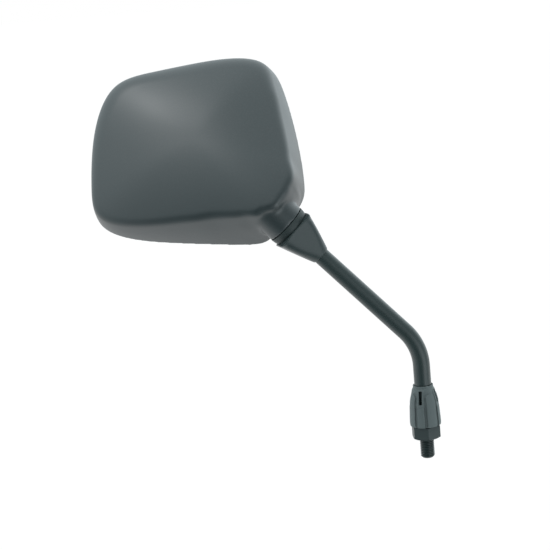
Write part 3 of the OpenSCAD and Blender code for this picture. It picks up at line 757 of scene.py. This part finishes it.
def buildRod(plan):
    tangent = plan["bendRadius"] * math.tan(bend / 2)
    straight = mirrorPlan["legHeight"] - tangent
    up, along = Vector((0, 0, 1)), Vector((-math.sin(bend), 0, math.cos(bend)))
    deselectAll()
    bpy.ops.mesh.primitive_circle_add(
        vertices=plan["sides"], radius=plan["core"] * mm, fill_type="NGON",
        location=(0, 0, -plan["coreDrop"] * mm),
    )
    rod = bpy.context.object
    rod.name = "stemRod"
    bpy.ops.object.mode_set(mode="EDIT")
    bpy.ops.mesh.select_all(action="SELECT")
    extrudeBy(plan["threadTop"] + plan["coreDrop"], up)
    extrudeBy(plan["taper"], up)
    resizeTo(plan["rod"] / plan["core"], up * (plan["threadTop"] + plan["taper"]))
    extrudeBy(straight - plan["threadTop"] - plan["taper"], up)
    bendCentre = Vector((-plan["bendRadius"], 0, straight))
    bpy.ops.mesh.spin(steps=plan["bendSteps"], angle=bend, center=bendCentre * mm, axis=(0, 1, 0))
    extrudeBy(mirrorPlan["upperLeg"] - tangent - plan["waistFrom"], along)
    extrudeBy(plan["waistCone"], along)
    resizeTo(plan["waist"] / plan["rod"], pivot - along * (plan["waistFrom"] - plan["waistCone"]))
    extrudeBy(plan["waistFrom"] - plan["waistCone"] - plan["spigotFrom"], along)
    extrudeBy(plan["shoulder"], along)
    resizeTo(plan["spigot"] / plan["waist"], pivot - along * (plan["spigotFrom"] - plan["shoulder"]))
    extrudeBy(plan["spigotFrom"] + plan["spigotTo"] - plan["shoulder"], along)
    bpy.ops.object.mode_set(mode="OBJECT")
    choose(rod)
    bpy.ops.object.transform_apply(location=True, rotation=True, scale=True)
    mendMesh(rod)
    return rod


# One turn of the thread is screwed up the stud, and what stands outside the chamfered stub is cut away
def buildThread(plan):
    pitch, root, crest = plan["pitch"], plan["root"], plan["crest"]
    tooth = [(root, 0), (root, 0.12), (crest, 0.45), (crest, 0.6), (root, 0.92), (root, 1)]
    low = -plan["free"] - 2 * pitch
    points = [(r * mm, 0, (low + share * pitch) * mm) for r, share in tooth]
    mesh = bpy.data.meshes.new("studThread")
    mesh.from_pydata(points, [(k, k + 1) for k in range(len(points) - 1)], [])
    thread = bpy.data.objects.new("studThread", mesh)
    scene.collection.objects.link(thread)
    finishModifier(
        thread, "SCREW", axis="Z", angle=2 * math.pi, screw_offset=pitch * mm,
        iterations=int((plan["free"] + 4 * pitch) / pitch), steps=plan["threadSteps"],
        render_steps=plan["threadSteps"], use_merge_vertices=True, merge_threshold=1e-6,
    )
    mendMesh(thread, weld=1e-6, fill=True)
    tip, full, play = -plan["free"], crest + plan["tipPlay"], plan["tipPlay"]
    stubProfile = [(crest - plan["chamfer"], tip), (full, tip + plan["chamfer"]), (full, play)]
    cutWith(thread, turnedPiece("stub", stubProfile, toMetres), "INTERSECT")
    return thread


print("bending the rod and cutting its thread")
stemRod = buildRod(stemPlan)
joinPieces(stemRod, [buildThread(stemPlan)])
smoothShade(stemRod, degrees=30)
dress(stemRod, coatedSteel, "stem", "black_steel", "stem")

# Nut cover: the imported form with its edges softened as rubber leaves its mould
coverPlan = {"skin": 0.2, "soften": 2}


def buildCover(plan):
    cover = copyOfNode("nut_cover", "coverSleeve")
    finishModifier(cover, "REMESH", mode="VOXEL", voxel_size=plan["skin"] * mm, use_smooth_shade=True)
    finishModifier(cover, "SMOOTH", iterations=plan["soften"], factor=0.5)
    smoothShade(cover, degrees=60)
    return cover


print("softening the nut cover")
coverSleeve = buildCover(coverPlan)
dress(coverSleeve, coverRubber, "cover", "cover_rubber", "nut_cover")

# Nut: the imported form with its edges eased
nutPlan = {"edge": 0.25, "segments": 3, "edgeAngle": 30}


def buildNut(plan):
    nut = copyOfNode("lock_nut", "hexNut")
    finishModifier(
        nut, "BEVEL", width=plan["edge"] * mm, segments=plan["segments"],
        limit_method="ANGLE", angle_limit=math.radians(plan["edgeAngle"]),
    )
    smoothShade(nut, degrees=35)
    return nut


print("easing the nut's edges")
hexNut = buildNut(nutPlan)
dress(hexNut, nutSteel, "nut", "black_steel", "lock_nut")

# The joint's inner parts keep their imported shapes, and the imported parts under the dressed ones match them
print("finishing the packed parts")
packedFinishes = {
    "glass_pad": foamPad, "backing_plate": platePlastic, "plate_screws": coatedSteel,
    "pivot_bracket": castingBlack, "bracket_screws": coatedSteel, "pivot_ball": steelBare,
    "lower_seat": nylonSeat, "upper_seat": nylonSeat, "pressure_cup": steelBare,
    "lower_spring": steelBare, "upper_spring": steelBare, "spring_plug": castingBare,
    "retaining_ring": steelBare, "rear_housing": shellPlastic, "rim_bezel": shellPlastic,
    "mirror_glass": silveredGlass, "ball_boot": bootRubber, "stem": coatedSteel,
    "nut_cover": coverRubber, "lock_nut": nutSteel,
}
for name, material in packedFinishes.items():
    mesh = nodes[name].data
    mesh.materials.clear()
    mesh.materials.append(material)

# Studio: a pale floor well below the stud, soft panels of light round the mirror, and one long lamp above.
# A panel has its direction, how far a ray has to face it for its light to start and to be full, and its level
studioPlan = {
    "floorDrop": -0.16, "floorSize": 4, "floorShift": 1.92,
    "floorColor": (0.8, 0.8, 0.8, 1), "floorRough": 0.9, "floorGlow": 1.06, "glowShare": 0.85,
    "panels": [
        ((-0.35, 0.94, 0), -0.75, 0.1, 0.85), ((0, 0, 1), 0.05, 0.8, 0.37),
        ((0.7, 0.7, -0.15), 0.55, 0.95, 0.62), ((0.68, -0.68, -0.27), 0.85, 0.98, 1.35),
        ((-0.5, -0.6, 0.6), 0.7, 1, 0.18), ((0.6, -0.76, -0.25), 0.5, 0.95, 0.3),
    ],
    "tint": (0.92, 1, 1.03, 1),
    "keyPlace": (-0.87, -0.04, 1.63), "keyAim": (-0.1, 0, 0.16), "keyAlong": (0.19, -0.32, 0.05),
    "keySpan": (0.62, 0.16), "keyPower": 3,
}


def addFloor(plan):
    deselectAll()
    place = (0, plan["floorShift"], plan["floorDrop"])
    bpy.ops.mesh.primitive_plane_add(size=plan["floorSize"], location=place)
    floor = bpy.context.object
    floor.name = "paleFloor"
    material = bpy.data.materials.new("paleFloor")
    material.use_nodes = True
    tree = material.node_tree
    shader = tree.nodes["Principled BSDF"]
    shader.inputs["Base Color"].default_value = plan["floorColor"]
    shader.inputs["Roughness"].default_value = plan["floorRough"]
    path = addNode(tree, "ShaderNodeLightPath").outputs
    mirrored = mathOf(tree, "MAXIMUM", path["Is Glossy Ray"], path["Is Transmission Ray"])
    seen = mathOf(tree, "MAXIMUM", path["Is Camera Ray"], mirrored)
    share = mathOf(tree, "MULTIPLY", seen, plan["glowShare"])
    glow = addNode(tree, "ShaderNodeEmission", {"Color": (1, 1, 1, 1), "Strength": plan["floorGlow"]})
    mix = addNode(tree, "ShaderNodeMixShader", {0: share, 1: shader.outputs[0], 2: glow.outputs[0]})
    tree.links.new(mix.outputs[0], tree.nodes["Material Output"].inputs["Surface"])
    floor.data.materials.append(material)


def addSurround(plan):
    world = bpy.data.worlds.new("whiteSurround")
    scene.world = world
    world.use_nodes = True
    tree = world.node_tree
    tree.nodes.clear()
    way = addNode(tree, "ShaderNodeTexCoord").outputs["Generated"]
    level = 0.0
    for direction, start, full, strength in plan["panels"]:
        facing = addNode(tree, "ShaderNodeVectorMath", {0: way, 1: direction}, operation="DOT_PRODUCT")
        lit = remap(tree, facing.outputs["Value"], start, full, 0.0, strength)
        level = mathOf(tree, "ADD", level, lit)
    studio = addNode(tree, "ShaderNodeBackground", {"Color": plan["tint"], "Strength": level})
    white = addNode(tree, "ShaderNodeBackground", {"Color": (1, 1, 1, 1), "Strength": 1.0})
    seen = addNode(tree, "ShaderNodeLightPath").outputs["Is Camera Ray"]
    mix = addNode(tree, "ShaderNodeMixShader", {0: seen, 1: studio.outputs[0], 2: white.outputs[0]})
    tree.links.new(mix.outputs[0], addNode(tree, "ShaderNodeOutputWorld").inputs["Surface"])


def addKeyLamp(plan):
    data = bpy.data.lights.new("keyLamp", "AREA")
    data.shape = "ELLIPSE"
    data.size, data.size_y = plan["keySpan"]
    data.energy = plan["keyPower"]
    lamp = bpy.data.objects.new("keyLamp", data)
    back = (Vector(plan["keyPlace"]) - Vector(plan["keyAim"])).normalized()
    upward = back.cross(Vector(plan["keyAlong"])).normalized()
    turn = Matrix((upward.cross(back), upward, back)).transposed()
    lamp.matrix_world = Matrix.Translation(plan["keyPlace"]) @ turn.to_4x4()
    scene.collection.objects.link(lamp)


print("setting the studio")
addFloor(studioPlan)
addSurround(studioPlan)
addKeyLamp(studioPlan)
scene.view_settings.view_transform = "Standard"

print("finishing")
